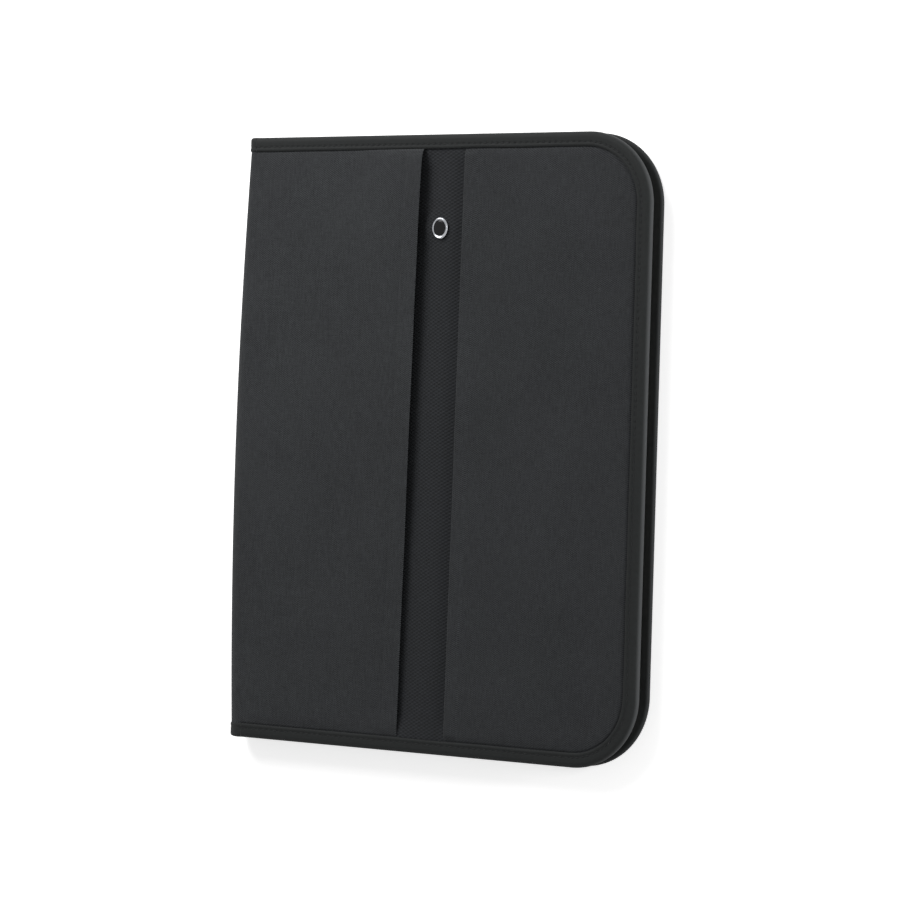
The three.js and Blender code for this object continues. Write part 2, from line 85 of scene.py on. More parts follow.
# Sizes that the frame's solids share
CORNER_RADIUS = 37
TAPE_WIDTH = 7.5
TAPE_THICKNESS = 0.4
SOLID_BOW = 6
SHOULDER_RADIUS = 3.5
SHOULDER_RISE = 1.2
SPINE_PLANE = -FREE_EDGE + SOLID_BOW
MOUTH_HEAD_DISTANCE = 110.3
MOUTH_TAIL_DISTANCE = 102.3
MOUTH_GAPE = 3.0
MOUTH_PEAK = 0.88
MOUTH_ONSET = 1.4
POCKET_CROWN = 0.9
SEAM_HEAD_DISTANCE = 134.6
SEAM_TAIL_DISTANCE = 131.3
INNER_EDGE = HEAD - TAPE_WIDTH
CORNER_X = FREE_EDGE - CORNER_RADIUS
CORNER_Y = HEAD - CORNER_RADIUS
MID_SPINE = (BACK_CLOTH_LOW + PANEL_TOP) / 2

# The bow of the spine's cloth, a little fuller and lower than that of its solids
SPINE_BOW = 7.3
SPINE_BOW_PLACE = -36
SPINE_BOW_REACH = 199

# Cloth, thread and stitches
CLOTH_THICKNESS = 0.5
LINING_THICKNESS = 0.35
CLOTH_UNDER_TAPE = 1.9
STITCH_PITCH = 3.4
STITCH_LENGTH = 2.3
STITCH_RADIUS = 0.3
STITCH_INSET = 5.2
TAPE_STEP = STITCH_PITCH / 5
PUFF = 0.4
PUFF_WIDTH = 4.0
CREASE_DEPTH = 0.45
CREASE_WIDTH = 0.55
CREASE_INSET = 0.15
TAPE_CLEARANCE = 0.3


# Meshes

def add_object(name, data):
    thing = bpy.data.objects.new(name, data)
    bpy.context.scene.collection.objects.link(thing)
    return thing


def face_outward(mesh):
    """Turns the faces outward where the mesh was wound the other way."""
    mesh.calc_loop_triangles()
    corners = np.array([[mesh.vertices[i].co for i in t.vertices] for t in mesh.loop_triangles])
    volume = np.einsum("ij,ij->i", corners[:, 0], np.cross(corners[:, 1], corners[:, 2])).sum()
    if volume < 0:
        mesh.flip_normals()
    mesh.update()


def make_mesh(name, points, faces, material):
    """A smooth mesh piece from points in millimetres."""
    mesh = bpy.data.meshes.new(name)
    mesh.from_pydata((np.asarray(points, float) * MM).tolist(), [], faces)
    mesh.validate()
    mesh.polygons.foreach_set("use_smooth", [True] * len(mesh.polygons))
    mesh.materials.append(material)
    face_outward(mesh)
    return add_object(name, mesh)


def grid_slab(name, outer, inner, material):
    """Closes the space between two grids of points with the same rows and columns."""
    outer, inner = np.asarray(outer), np.asarray(inner)
    rows, columns = outer.shape[:2]
    half = rows * columns
    faces = []
    for j in range(rows - 1):
        for i in range(columns - 1):
            a = j * columns + i
            faces.append((a, a + 1, a + 1 + columns, a + columns))
            faces.append((half + a, half + a + columns, half + a + 1 + columns, half + a + 1))
    rim = list(range(columns))
    rim += [j * columns + columns - 1 for j in range(1, rows)]
    rim += [(rows - 1) * columns + i for i in range(columns - 2, -1, -1)]
    rim += [j * columns for j in range(rows - 2, 0, -1)]
    for k, a in enumerate(rim):
        b = rim[(k + 1) % len(rim)]
        faces.append((b, a, half + a, half + b))
    points = np.concatenate([outer.reshape(-1, 3), inner.reshape(-1, 3)])
    return make_mesh(name, points, faces, material)


def tube_faces(count, size, first=0, closed=False):
    """Faces that join rings of points numbered from first, with capped ends unless closed."""
    faces = []
    for j in range(count if closed else count - 1):
        near, far = first + j * size, first + (j + 1) % count * size
        for i in range(size):
            k = (i + 1) % size
            faces.append((near + i, near + k, far + k, far + i))
    if not closed:
        faces.append(tuple(range(first + size - 1, first - 1, -1)))
        faces.append(tuple(range(first + (count - 1) * size, first + count * size)))
    return faces


def tube_of_rings(name, rings, material, closed=False):
    rings = np.asarray(rings)
    faces = tube_faces(*rings.shape[:2], closed=closed)
    return make_mesh(name, rings.reshape(-1, 3), faces, material)


def field_slab(name, x, y, top, under, material):
    """A slab over a grid of places, between two heights; under may be one level."""
    under = np.broadcast_to(under, x.shape)
    return grid_slab(name, np.stack([x, y, top], axis=2), np.stack([x, y, under], axis=2), material)


def row_at(y, x, z):
    """Points along one row at y; z may be one level."""
    return np.c_[x, np.full(len(x), float(y)), np.broadcast_to(z, len(x))]


def smoothstep(x, low, high):
    t = np.clip((x - low) / (high - low), 0, 1)
    return t * t * (3 - 2 * t)


def quarter_turn(count):
    return np.linspace(0, pi / 2, count)


def waves(x, y, seed, length, terms=7):
    """Gentle seeded unevenness, about 1 at most, in waves about length long."""
    random = np.random.default_rng(seed)
    total = 0
    for _ in range(terms):
        angle = random.uniform(0, pi)
        turn = random.uniform(0, 2 * pi)
        size = length * random.uniform(0.7, 1.6)
        total = total + np.sin(2 * pi * (x * cos(angle) + y * sin(angle)) / size + turn)
    return total / sqrt(terms)


def dents(x, y, seed, broad, fine):
    """Broad and fine unevenness of a padded panel, each given as its height and its length."""
    return broad[0] * waves(x, y, seed, broad[1]) + fine[0] * waves(x, y, seed + 1, fine[1])


def closing_shares(count):
    """Shares from 0 to 1 that lie closer together towards 1, where the free edge is."""
    return 1 - (1 - np.linspace(0, 1, count)) ** 1.4


# The form of the covers, as in the frame

def bow_share(y):
    along = np.clip(y, -INNER_EDGE, INNER_EDGE)
    return np.maximum(0, 1 - ((along - SPINE_BOW_PLACE) / SPINE_BOW_REACH) ** 2)


def swell_share(y):
    return np.maximum(0, 1 - (y / INNER_EDGE) ** 2)


def gape_share(y):
    share = np.clip((y + INNER_EDGE) / (2 * INNER_EDGE), 0, 1)
    fall = MOUTH_ONSET * (1 - MOUTH_PEAK) / MOUTH_PEAK
    most = MOUTH_PEAK ** MOUTH_ONSET * (1 - MOUTH_PEAK) ** fall
    return share ** MOUTH_ONSET * (1 - share) ** fall / most


def along_edge(y, tail_distance, head_distance):
    return SPINE_PLANE + tail_distance + (head_distance - tail_distance) * (y + HEAD) / (2 * HEAD)


def mouth_x(y):
    return along_edge(y, MOUTH_TAIL_DISTANCE, MOUTH_HEAD_DISTANCE)


def seam_x(y):
    return along_edge(y, SEAM_TAIL_DISTANCE, SEAM_HEAD_DISTANCE)


def free_edge_x(y, inset):
    """The free edge at y, set in from the cover's outline, round the corners too."""
    radius = CORNER_RADIUS - inset
    past = np.clip(np.abs(y) - CORNER_Y, 0, radius)
    return CORNER_X + np.sqrt(radius ** 2 - past ** 2)


def edge_inset(x, y):
    """How far a point lies inside the outline of the three open edges."""
    past_x, past_y = x - CORNER_X, np.abs(y) - CORNER_Y
    corner = CORNER_RADIUS - np.hypot(np.maximum(past_x, 0), np.maximum(past_y, 0))
    straight = np.minimum(FREE_EDGE - x, HEAD - np.abs(y))
    return np.where((past_x > 0) & (past_y > 0), corner, straight)


def rows_along(end, step=2.2, corner_steps=22):
    """Places along Y from -end to end, close together where the corners turn."""
    radius = end - CORNER_Y
    corner = CORNER_Y + radius * np.sin(quarter_turn(corner_steps + 1))
    straight = np.linspace(-CORNER_Y, CORNER_Y, int(2 * CORNER_Y / step) + 1)
    edges = INNER_EDGE - np.array([3, 2, 1.4, 1.0, 0.7, 0.4, 0.15, -0.1, -0.5])
    half = np.unique(np.round(np.append(corner[1:], edges), 4))
    return np.concatenate([-half[::-1], straight, half])


CLOTH_ROWS = rows_along(HEAD - CLOTH_UNDER_TAPE)


def spine_line(y, depth, upper, most=SPINE_BOW):
    """One line of the spine's section at y, from mid-spine to the end of a shoulder, set in by depth."""
    radius = SHOULDER_RADIUS - depth
    centre_x = SPINE_PLANE + SHOULDER_RADIUS
    top = PANEL_TOP if upper else BACK_CLOTH_LOW
    side = 1 if upper else -1
    centre_z = top - side * SHOULDER_RADIUS
    flat_z = np.linspace(MID_SPINE, centre_z, 8)[:-1]
    turn = quarter_turn(13)
    x = np.append(np.full(len(flat_z), SPINE_PLANE + depth), centre_x - radius * np.cos(turn))
    z = np.append(flat_z, centre_z + side * radius * np.sin(turn))
    share = np.clip((z - BACK_CLOTH_LOW) / (PANEL_TOP - BACK_CLOTH_LOW), 0, 1)
    arc_share = 0.5 + side * 0.5 * np.linspace(0, 1, len(x))
    bow = most * bow_share(y) * np.sin(pi * arc_share)
    rise = SHOULDER_RISE * swell_share(y) * smoothstep(share, 0.5, 1)
    return row_at(y, x - bow, z + rise)


# Cloth of the covers

def crease(clear):
    """How far the stitching pulls the cloth down close to the tape's inner edge."""
    return CREASE_DEPTH * np.exp(-((clear - CREASE_INSET) / CREASE_WIDTH) ** 2)


def puff(x, y):
    """How far the cloth swells above its level once it is clear of the binding tape."""
    return PUFF * smoothstep(edge_inset(x, y) - TAPE_WIDTH, 0, PUFF_WIDTH)


def pocket_rise(across, y):
    at_spine = SHOULDER_RISE * swell_share(y) * (1 - across)
    crown = POCKET_CROWN * swell_share(y) * np.sin(pi * across)
    gape = MOUTH_GAPE * gape_share(y) * smoothstep(across, 0.5, 1)
    return at_spine + crown + gape


FLAP_HEM = 9.0
FLAP_HEM_RISE = 0.35
HEM_SOFTNESS = 0.7
ROLL_STEPS = 6
FOLD_TUCK = 0.98


def folded_edge(x, high, low, reach):
    """Points round a folded edge that stands out from x by reach: places, top and underside."""
    turn = quarter_turn(ROLL_STEPS + 1)[1:]
    radius = (high - low) / 2
    drop = radius * np.cos(turn)
    return x + reach * np.sin(turn), high - radius + drop, low + radius - FOLD_TUCK * drop


def front_flap(material):
    """The pocket panel's cloth: from mid-spine over the shoulder to the gaping mouth, with its hem."""
    across = np.append(np.linspace(0, 0.88, 46), np.linspace(0.895, 0.992, 14))
    outer, inner = [], []
    for y in CLOTH_ROWS:
        mouth = mouth_x(y)
        x = COVER_START + (mouth - COVER_START) * across
        clear = smoothstep(INNER_EDGE - abs(y), TAPE_CLEARANCE, 5)
        hem = FLAP_HEM_RISE * clear * smoothstep(x - mouth + FLAP_HEM, -HEM_SOFTNESS, HEM_SOFTNESS)
        uneven = smoothstep(across, 0, 0.15) * dents(x, y, 3, (0.16, 95), (0.05, 28))
        level = PANEL_TOP + pocket_rise(across, y) + clear * (PUFF * smoothstep(across, 0, 0.06) + uneven)
        low = level - CLOTH_THICKNESS
        high = level + hem - crease(INNER_EDGE - abs(y))
        fold_x, fold_high, fold_low = folded_edge(x[-1], high[-1], low[-1], mouth - x[-1])
        x = np.append(x, fold_x)
        top = row_at(y, x, np.append(high, fold_high))
        under = row_at(y, x, np.append(low, fold_low))
        outer.append(np.concatenate([spine_line(y, 0, True), top]))
        inner.append(np.concatenate([spine_line(y, CLOTH_THICKNESS, True), under]))
    return grid_slab("front_flap_cloth", outer, inner, material)


SEAM_HEM = 7.0
SEAM_HEM_RISE = 0.5
SEAM_RIDGE = 0.45
SEAM_RIDGE_REACH = 3.2
SEAM_FOLD_REACH = 1.3


def right_panel(material):
    """The panel right of the strip, with a folded hem that stands over the strip."""
    share = np.append(np.linspace(0, 0.1, 18), np.linspace(0.12, 0.98, 36))
    insets = np.array([15, 13, 11.6, 10.6, 9.8, 9.2, 8.7, 8.3, 8.0, 7.75, 7.5, 7.2, 6.4, 4, CLOTH_UNDER_TAPE])
    apart = 0.02 * np.arange(len(insets))[::-1]
    outer, inner = [], []
    for y in CLOTH_ROWS:
        start = seam_x(y) + SEAM_FOLD_REACH
        band = free_edge_x(y, insets) - apart
        x = np.append(start + (band[0] - start) * share, band)
        clear = smoothstep(INNER_EDGE - abs(y), TAPE_CLEARANCE, 4)
        hem = SEAM_HEM_RISE * (1 - smoothstep(x - seam_x(y), SEAM_HEM - 0.6, SEAM_HEM + 0.9))
        ridge = SEAM_RIDGE * np.exp(-((x - start) / SEAM_RIDGE_REACH) ** 2)
        swell = puff(x, y)
        uneven = 0.5 * swell / PUFF * dents(x, y, 5, (0.22, 110), (0.07, 30))
        high = PANEL_TOP + swell + uneven + (hem + ridge) * clear - crease(edge_inset(x, y) - TAPE_WIDTH)
        low = np.full(len(x), PANEL_LOW)
        fold_x, fold_high, fold_low = folded_edge(x[0], high[0], low[0], -SEAM_FOLD_REACH)
        x = np.append(fold_x[::-1], x)
        outer.append(row_at(y, x, np.append(fold_high[::-1], high)))
        inner.append(row_at(y, x, np.append(fold_low[::-1], low)))
    return grid_slab("right_panel_cloth", outer, inner, material)


def cover_field(inset, columns):
    """A grid of places over a whole cover, out to inset from its open edges."""
    rows = rows_along(HEAD - inset)
    right = free_edge_x(rows, inset)
    x = COVER_START + (right[:, None] - COVER_START) * closing_shares(columns)
    y = np.repeat(rows[:, None], columns, axis=1)
    return x, y


STRIP_COLUMNS = 200
MOUTH_DIP = 1.5
MOUTH_DIP_REACH = 8
MOUTH_DIP_UNDER = 25
SEAM_DIP = 1.4
SEAM_DIP_REACH = 4.8
BADGE_CLEARANCE = 6


def strip_dip(x, y):
    """How far the strip's cloth sinks into the padding along the mouth and along the seam."""
    past_mouth = x - mouth_x(y)
    reach = np.where(past_mouth > 0, MOUTH_DIP_REACH, MOUTH_DIP_UNDER)
    at_mouth = MOUTH_DIP * np.exp(-(past_mouth / reach) ** 2)
    at_seam = SEAM_DIP * np.exp(-((x - seam_x(y)) / SEAM_DIP_REACH) ** 2)
    badge = sum(box_mm("badge_rim")) / 2
    from_badge = np.hypot(x - badge[0], y - badge[1])
    from_tape = smoothstep(INNER_EDGE - np.abs(y), TAPE_CLEARANCE, 12)
    clear = from_tape * smoothstep(from_badge, BADGE_CLEARANCE, 2 * BADGE_CLEARANCE)
    return (at_mouth + at_seam) * clear


def centre_strip(material):
    """The coarse cloth behind the pocket, seen between the mouth and the right panel."""
    x, y = cover_field(CLOTH_UNDER_TAPE, STRIP_COLUMNS)
    dip = strip_dip(x, y)
    top = STRIP_TOP + 0.06 * waves(x, y, 7, 60) - dip
    return field_slab("centre_strip_cloth", x, y, top, STRIP_TOP - PANEL_THICKNESS - dip, material)


BACK_PUFF = 0.6
LINING_PUFF = 0.5


def back_cloth(material):
    """The back cover's cloth with the lower half of the spine."""
    outer, inner = [], []
    for y in CLOTH_ROWS:
        right = free_edge_x(y, CLOTH_UNDER_TAPE)
        x = COVER_START + (right - COVER_START) * closing_shares(70)
        low = row_at(y, x, BACK_CLOTH_LOW - BACK_PUFF * puff(x, y) + 0.04 * waves(x, y, 8, 80))
        high = row_at(y, x, BACK_CLOTH_LOW + CLOTH_THICKNESS)
        outer.append(np.concatenate([spine_line(y, 0, False), low]))
        inner.append(np.concatenate([spine_line(y, CLOTH_THICKNESS, False), high]))
    return grid_slab("back_outer_cloth", outer, inner, material)


GUTTER_DEPTH = 1.8
LINING_START = COVER_START + 1.2


def lining(name, upper, level, material):
    """A cover's lining with its half of the gutter, which spans straight behind the bowed spine."""
    side = 1 if upper else -1
    turn = quarter_turn(10)
    gutter_x = SPINE_PLANE + GUTTER_DEPTH + LINING_THICKNESS
    turn_x = gutter_x + (LINING_START - gutter_x) * (1 - np.cos(turn))
    turn_z = level - side * abs(level - MID_SPINE) * (1 - np.sin(turn))
    outer, inner = [], []
    for y in CLOTH_ROWS:
        right = free_edge_x(y, CLOTH_UNDER_TAPE)
        flat_x = LINING_START + (right - LINING_START) * closing_shares(60)[1:]
        soft = LINING_PUFF * puff(flat_x, y) + 0.05 * waves(flat_x, y, 9, 50)
        x = np.append(turn_x, flat_x)
        z = np.append(turn_z, level - side * soft)
        out_x = np.append(-np.cos(turn), np.zeros(len(flat_x)))
        out_z = side * np.append(np.sin(turn), np.ones(len(flat_x)))
        outer.append(row_at(y, x, z))
        inner.append(row_at(y, x + out_x * LINING_THICKNESS, z + out_z * LINING_THICKNESS))
    return grid_slab(name, outer, inner, material)


# Binding tape

STITCH_GROOVE = 0.06
STITCH_PULL = 0.3
SPINE_GROOVE = 0.1
TAPE_RIDGE = 0.14
TAPE_RIDGE_INSET = 6.5
TAPE_LIP = 0.22
TAPE_SOFTNESS = 0.5


def tape_section(low, high, groove):
    """Folded tape seen end on, as distance in from the edge against height, with a stitched groove."""
    middle, radius = (low + high) / 2, (high - low) / 2
    turn = np.linspace(pi / 2, -pi / 2, 15)
    face = np.linspace(TAPE_WIDTH, radius + 0.2, 22)
    dip = groove * np.exp(-((face - STITCH_INSET) / TAPE_SOFTNESS) ** 2)
    ridge = TAPE_RIDGE * np.exp(-((face - TAPE_RIDGE_INSET) / TAPE_SOFTNESS) ** 2)
    lip = TAPE_LIP * smoothstep(face, TAPE_WIDTH - TAPE_SOFTNESS, TAPE_WIDTH)
    swell = ridge - dip - lip
    top = np.c_[face, high + swell]
    bottom = np.c_[face, low - swell][::-1]
    nose = np.c_[radius - radius * np.cos(turn), middle + radius * np.sin(turn)]
    inner_radius = radius - TAPE_THICKNESS
    back = turn[::-2]
    inside = np.c_[radius - inner_radius * np.cos(back), middle + inner_radius * np.sin(back)]
    inner_bottom = np.array([[TAPE_WIDTH, low + TAPE_THICKNESS]])
    inner_top = np.array([[TAPE_WIDTH, high - TAPE_THICKNESS]])
    return np.concatenate([top, nose, bottom, inner_bottom, inside, inner_top])


def corner_station(y, angle):
    c, s = cos(angle), sin(angle)
    return CORNER_X + CORNER_RADIUS * c, y + CORNER_RADIUS * s, -c, -s


def edge_stations(step):
    """Places round a cover's three open edges, with the way in and the distance run."""
    straight = CORNER_X - COVER_START
    arc = CORNER_RADIUS * pi / 2
    side = 2 * CORNER_Y
    total = 2 * straight + 2 * arc + side
    runs = np.linspace(0, total, int(total / step) + 1)
    stations = []
    for run in runs:
        if run <= straight:
            station = COVER_START + run, -HEAD, 0, 1
        elif run <= straight + arc:
            station = corner_station(-CORNER_Y, -pi / 2 + (run - straight) / CORNER_RADIUS)
        elif run <= straight + arc + side:
            station = FREE_EDGE, -CORNER_Y + run - straight - arc, -1, 0
        elif run <= straight + 2 * arc + side:
            station = corner_station(CORNER_Y, (run - straight - arc - side) / CORNER_RADIUS)
        else:
            station = CORNER_X - (run - straight - 2 * arc - side), HEAD, 0, -1
        stations.append(station)
    return np.array(stations), runs


# The mesh attribute that marks a highlight painted along the tape's fold, and how far in from the edge it
# reaches
PAINTED_HIGHLIGHT = "painted_edge_highlight"
PAINTED_HIGHLIGHT_REACH = 1.0
WOBBLE = 0.09
WOBBLE_LENGTH = 34
WOBBLE_BAND = (4.5, 7.4)
UNDER_SPINE_TAPE = 5


def binding(name, low, high, seed, highlight_share, material):
    """The tape folded over a cover's three open edges, drawn in a little at every stitch.

    A highlight is painted on its fold along the free edge, as strong as the share given.
    """
    stations, runs = edge_stations(TAPE_STEP)
    rings, highlight_amounts = [], []
    for (x, y, in_x, in_y), run in zip(stations, runs):
        pull = (0.5 + 0.5 * cos(2 * pi * run / STITCH_PITCH)) ** 3
        section = tape_section(low, high, STITCH_GROOVE + STITCH_PULL * pull)
        by_spine = abs(y) >= HEAD - 1 and x <= COVER_START + UNDER_SPINE_TAPE
        wobble = 0 if by_spine else WOBBLE * float(waves(run, 0.0, seed, WOBBLE_LENGTH))
        d = section[:, 0] + wobble * smoothstep(section[:, 0], *WOBBLE_BAND)
        rings.append(np.c_[x + in_x * d, y + in_y * d, section[:, 1]])
        # How much painted highlight this station takes: full where the tape runs along the free edge, none at
        # head and tail
        highlight_here = highlight_share * max(-in_x, 0)
        highlight_amounts.append(highlight_here * (1 - smoothstep(section[:, 0], 0, PAINTED_HIGHLIGHT_REACH)))
    piece = tube_of_rings(name, rings, material)
    highlight = piece.data.attributes.new(PAINTED_HIGHLIGHT, "FLOAT", "POINT")
    highlight.data.foreach_set("value", np.concatenate(highlight_amounts).astype(np.float32))
    return piece


def spine_tape_path(upper, end):
    """The line that a spine tape follows at one end: place, outward way, thickness inward and the bow."""
    line = spine_line(end * HEAD, 0, upper)
    straight = spine_line(end * HEAD, 0, upper, most=0)
    side = 1 if upper else -1
    cover = np.linspace(SPINE_PLANE + SHOULDER_RADIUS, COVER_START, 4)[1:]
    level = PANEL_TOP if upper else BACK_CLOTH_LOW
    points = [(p[0], p[2]) for p in line] + [(x, level) for x in cover]
    normals = []
    for x, z in points:
        centre = np.array([SPINE_PLANE + SHOULDER_RADIUS, level - side * SHOULDER_RADIUS])
        way = np.array([min(x - centre[0], 0), side * max(side * (z - centre[1]), 0)])
        normals.append(way / np.linalg.norm(way))
    thick = np.linspace(0, 1, len(points))
    cover_depth = (FRONT_TOP - FRONT_BOTTOM if upper else BACK_TOP) - (TAPE_THICKNESS + GLUE_LINE)
    spine_depth = GUTTER_DEPTH + LINING_THICKNESS + GLUE_LINE + TAPE_THICKNESS
    depths = spine_depth + (cover_depth - spine_depth) * smoothstep(thick, 0.6, 1)
    bows = np.append(straight[:, 0] - line[:, 0], np.zeros(len(cover)))
    return points, normals, depths, bows


def spine_tape(name, upper, end, material):
    """Half of the tape over one end of the spine, from mid-spine to the cover's own binding.

    Its outer side bows with the spine and its inner side stays straight.
    """
    points, normals, depths, bows = spine_tape_path(upper, end)
    rings = []
    for (x, z), normal, depth, bow in zip(points, normals, depths, bows):
        section = tape_section(-depth, TAPE_THICKNESS + GLUE_LINE, SPINE_GROOVE)
        inward = np.clip(-section[:, 1] / (depth - TAPE_THICKNESS), 0, 1)
        ring_x = x + normal[0] * section[:, 1] + bow * inward
        rings.append(np.c_[ring_x, end * (HEAD - section[:, 0]), z + normal[1] * section[:, 1]])
    return tube_of_rings(name, rings, material)


# Stitches

# The sections of a stitch along its length: place, thickness and lift
STITCH_PROFILE = (
    (-0.5, 0.25, -1.0), (-0.36, 0.85, -0.15), (0, 1.0, 0.35), (0.36, 0.85, -0.15), (0.5, 0.25, -1.0))
STITCH_SIDES = 8


def thread(name, places, ways, ups, material, length=STITCH_LENGTH, radius=STITCH_RADIUS):
    """A run of stitches as one mesh: each a plump strand along its way, sunk at both ends."""
    angles = [2 * pi * k / STITCH_SIDES for k in range(STITCH_SIDES)]
    points, faces = [], []
    for middle, way, up in zip(places, ways, ups):
        across = np.cross(up, way)
        faces += tube_faces(len(STITCH_PROFILE), STITCH_SIDES, len(points))
        for share, fat, lift in STITCH_PROFILE:
            centre = middle + way * share * length + up * lift * radius
            for angle in angles:
                ring = across * cos(angle) + up * sin(angle)
                points.append(centre + ring * fat * radius)
    return make_mesh(name, points, faces, material)


def binding_stitches(name, level, up, material):
    """Stitches in the groove of a cover's binding, on the face at that level."""
    stations, _ = edge_stations(STITCH_PITCH)
    stations = (stations[:-1] + stations[1:]) / 2
    places, ways = [], []
    for x, y, in_x, in_y in stations:
        size = hypot(in_x, in_y)
        in_x, in_y = in_x / size, in_y / size
        places.append(np.array([x + in_x * STITCH_INSET, y + in_y * STITCH_INSET, level]))
        ways.append(np.array([-in_y, in_x, 0]))
    return thread(name, places, ways, [np.array([0, 0, up])] * len(places), material)


# Inner pockets and loop

def pocket_grid(x, low, high, share):
    """Places over a pocket whose ends at each x are low and high."""
    return np.repeat(x[None, :], len(share), axis=0), low + (high - low) * share[:, None]


def hem_height(distance, width, rise):
    """A folded hem along an edge: full height near the edge, gone past its width, soft at the fold."""
    return rise * (1 - smoothstep(distance, width - 0.5, width + 0.5)) * smoothstep(distance, -0.05, 0.35)


DOCUMENT_GUTTER_MARGIN = 12
DOCUMENT_MOUTH_GUTTER = 215
DOCUMENT_MOUTH_EDGE = 175
DOCUMENT_HEM = 8
DOCUMENT_HEM_RISE = 0.22
POCKET_GAP = 0.3
DOCUMENT_LEFT = COVER_START + DOCUMENT_GUTTER_MARGIN
DOCUMENT_RIGHT = FREE_EDGE - TAPE_WIDTH - POCKET_GAP


def document_mouth(x):
    share = (x - DOCUMENT_LEFT) / (DOCUMENT_RIGHT - DOCUMENT_LEFT)
    return -HEAD + DOCUMENT_MOUTH_GUTTER + (DOCUMENT_MOUTH_EDGE - DOCUMENT_MOUTH_GUTTER) * share


def document_pocket(material):
    """The large slanted pocket inside the front cover, with a folded hem along its mouth."""
    radius = CORNER_RADIUS - TAPE_WIDTH - POCKET_GAP
    turn = quarter_turn(26)
    x = np.append(np.linspace(DOCUMENT_LEFT, CORNER_X, 60)[:-1], CORNER_X + radius * np.sin(turn))
    past = np.clip(x - CORNER_X, 0, radius)
    low = -CORNER_Y - np.sqrt(radius ** 2 - past ** 2)
    high = document_mouth(x)
    share = np.append(np.linspace(0, 0.95, 70), np.linspace(0.955, 1, 14))
    grid_x, y = pocket_grid(x, low, high, share)
    base_low, base_high = box_mm("document_pocket")
    hem = hem_height(document_mouth(grid_x) - y, DOCUMENT_HEM, DOCUMENT_HEM_RISE)
    z = base_low[2] + 0.03 * waves(grid_x, y, 12, 70) - hem
    piece = field_slab("document_pocket_cloth", grid_x, y, z, base_high[2], material)
    return piece, float(DOCUMENT_RIGHT - DOCUMENT_LEFT), float(high.max() - low.min())


CARD_POCKET_CORNER = 4
CARD_HEM = 5
SMALL_HEM_RISE = 0.12


def card_pocket(node, seed, material):
    """A card pocket with rounded corners and a folded hem along its mouth."""
    low, high = box_mm(node)
    corner = CARD_POCKET_CORNER
    turn = np.sin(quarter_turn(9))
    middle = np.linspace(low[0] + corner, high[0] - corner, 42)[1:-1]
    x = np.concatenate([low[0] + corner * (1 - turn[::-1]), middle, high[0] - corner * (1 - turn)])
    past = np.maximum(np.maximum(low[0] + corner - x, x - high[0] + corner), 0)
    drop = corner - np.sqrt(np.maximum(corner ** 2 - past ** 2, 0))
    share = np.append(np.linspace(0, 0.8, 24), np.linspace(0.81, 1, 22))
    grid_x, y = pocket_grid(x, low[1] + drop, high[1] - drop, share)
    hem = hem_height(high[1] - y, CARD_HEM, SMALL_HEM_RISE)
    z = low[2] + 0.02 * waves(grid_x, y, seed, 30) - hem
    return field_slab(node + "_cloth", grid_x, y, z, high[2], material)


SLOT_WALL = 1.4
SLOT_HEM = 9
SLOT_CLOTH = 0.3
SLOT_LIFT = 0.02


def slot_pocket(material):
    """The patch pocket that holds the pad's card: sewn down round three sides, hemmed at its mouth."""
    low, high = box_mm("pad_slot_panel")
    edge = np.array([0, 0.25, 0.5, 0.8, 1.1, 1.4, 1.8])
    x = np.concatenate([low[0] + edge, np.linspace(low[0] + 3, high[0] - 3, 80), high[0] - edge[::-1]])
    y = np.concatenate([
        low[1] + edge, np.linspace(low[1] + 3, high[1] - 12, 60), np.linspace(high[1] - 11, high[1], 30)])
    grid_x, grid_y = np.meshgrid(x, y)
    sides = np.minimum(grid_x - low[0], high[0] - grid_x)
    inward = np.minimum(sides, grid_y - low[1])
    seat = np.where(edge_inset(grid_x, grid_y) > TAPE_WIDTH + 0.4, low[2], BACK_TOP + GLUE_LINE)
    rise = smoothstep(inward, 0.1, SLOT_WALL)
    hem = hem_height(high[1] - grid_y, SLOT_HEM, SMALL_HEM_RISE)
    flat = seat + SLOT_CLOTH
    level = flat + (high[2] - flat) * rise
    under = level - SLOT_CLOTH + SLOT_LIFT
    return field_slab("slot_pocket_cloth", grid_x, grid_y, level + hem, under, material)


LOOP_BAND = 0.7
LOOP_RIB_PITCH = 1.1
LOOP_RIB = 0.09


def pen_loop(material):
    """A sleeve of ribbed elastic, its ribs running round the loop."""
    low, high = box_mm("pen_loop")
    height, width = high[2] - low[2], high[0] - low[0]
    radius = height / 3
    centre = (low + high) / 2

    def outline(shrink):
        reach, points = radius - shrink, []
        for corner, (sx, sz) in enumerate([(1, 1), (-1, 1), (-1, -1), (1, -1)]):
            cx = centre[0] + sx * (width / 2 - radius)
            cz = centre[2] + sz * (height / 2 - radius)
            for angle in corner * pi / 2 + quarter_turn(9):
                points.append((cx + reach * cos(angle), cz + reach * sin(angle)))
        return points

    places = np.linspace(low[1], high[1], int((high[1] - low[1]) / LOOP_RIB_PITCH * 6) + 1)
    rings = []
    for y in places:
        rib = LOOP_RIB * (0.5 - 0.5 * cos(2 * pi * (y - low[1]) / LOOP_RIB_PITCH))
        rings.append([(x, y, z) for x, z in outline(LOOP_RIB - rib)])
    for y in places[::-1]:
        rings.append([(x, y, z) for x, z in outline(LOOP_BAND)])
    return tube_of_rings("pen_loop_elastic", rings, material, closed=True)


FOAM_INSET = CLOTH_UNDER_TAPE + 0.4


def foam_layer(name, node, material, dip=None):
    """A foam sheet between a cover's cloth and its board, pressed down by dip where the cloth sinks."""
    low, high = box_mm(node)
    x, y = cover_field(FOAM_INSET, STRIP_COLUMNS if dip else 40)
    top = high[2] - (dip(x, y) if dip else 0 * x)
    return field_slab(name, x, y, top, low[2], material)


# Materials

def srgb(levels):
    """A colour given as 0 to 255 on screen, as the linear values that shaders use."""
    shares = np.array(levels) / 255
    linear = np.where(shares <= 0.04045, shares / 12.92, ((shares + 0.055) / 1.055) ** 2.4)
    return (*linear.tolist(), 1)


